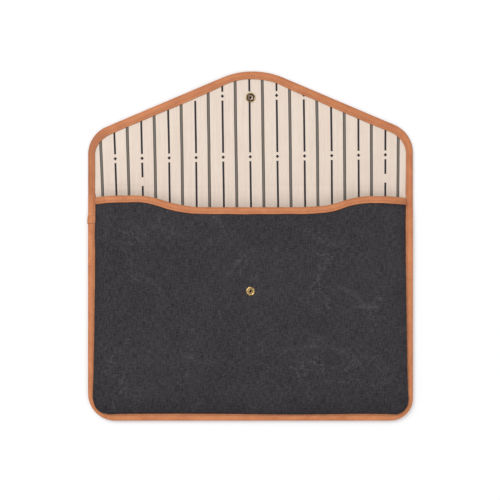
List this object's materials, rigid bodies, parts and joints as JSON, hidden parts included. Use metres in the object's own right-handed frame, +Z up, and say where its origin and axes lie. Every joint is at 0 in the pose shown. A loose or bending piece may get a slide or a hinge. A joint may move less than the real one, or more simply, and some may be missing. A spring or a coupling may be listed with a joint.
{
  "type": "laptop sleeve",
  "caption": "Padded canvas envelope sleeve for a thin laptop, with leather-bound edges, a striped lining, and a pointed flap that folds over and snaps shut.",
  "frame": {"origin": "centre of the footprint with the flap open, on the surface that the sleeve lies on", "axes": "+X to the right seen from above, +Y from the pouch's bottom edge to the flap's point, +Z up out of the front panel"},
  "size_m": [0.346, 0.372, 0.0224],
  "materials": {
    "washed_canvas": "washed charcoal cotton canvas, plain weave, faintly mottled",
    "ticking": "cream cotton with woven dark stripes",
    "foam": "closed-cell foam sheet",
    "felt": "needled felt",
    "tan_leather": "smooth vegetable-tanned binding strip, matt",
    "thread": "waxed thread in the leather's colour",
    "antique_brass": "antique brass",
    "spring_steel": "bright wire",
    "stiffener": "thin flexible sheet"
  },
  "bodies": {
    "pouch": {"back_canvas": "washed_canvas", "back_padding": "foam", "back_lining": "ticking", "front_canvas": "washed_canvas", "front_padding": "foam", "front_lining": "ticking", "mouth_binding": "tan_leather", "mouth_thread": "thread", "pouch_binding": "tan_leather", "binding_lap": "tan_leather", "pouch_thread": "thread", "snap_stud": "antique_brass", "stud_post": "antique_brass", "stud_patch": "stiffener"},
    "spine": {"spine_canvas": "washed_canvas", "spine_interlining": "felt", "spine_lining": "ticking", "spine_binding_left": "tan_leather", "spine_binding_right": "tan_leather", "spine_thread": "thread"},
    "flap": {"flap_canvas": "washed_canvas", "flap_interlining": "felt", "flap_lining": "ticking", "flap_binding": "tan_leather", "flap_thread": "thread", "snap_socket": "antique_brass", "snap_spring": "spring_steel", "snap_cap": "antique_brass", "socket_patch": "stiffener"}
  },
  "joints": [
    {"name": "spine_fold", "type": "hinge", "parent": "pouch", "child": "spine", "pos_m": [0, 0.0503, 0.00855], "axis": [1, 0, 0], "range_deg": [0, 90]},
    {"name": "flap_fold", "type": "hinge", "parent": "spine", "child": "flap", "pos_m": [0, 0.0599, 0.00855], "axis": [1, 0, 0], "range_deg": [0, 90]}
  ]
}
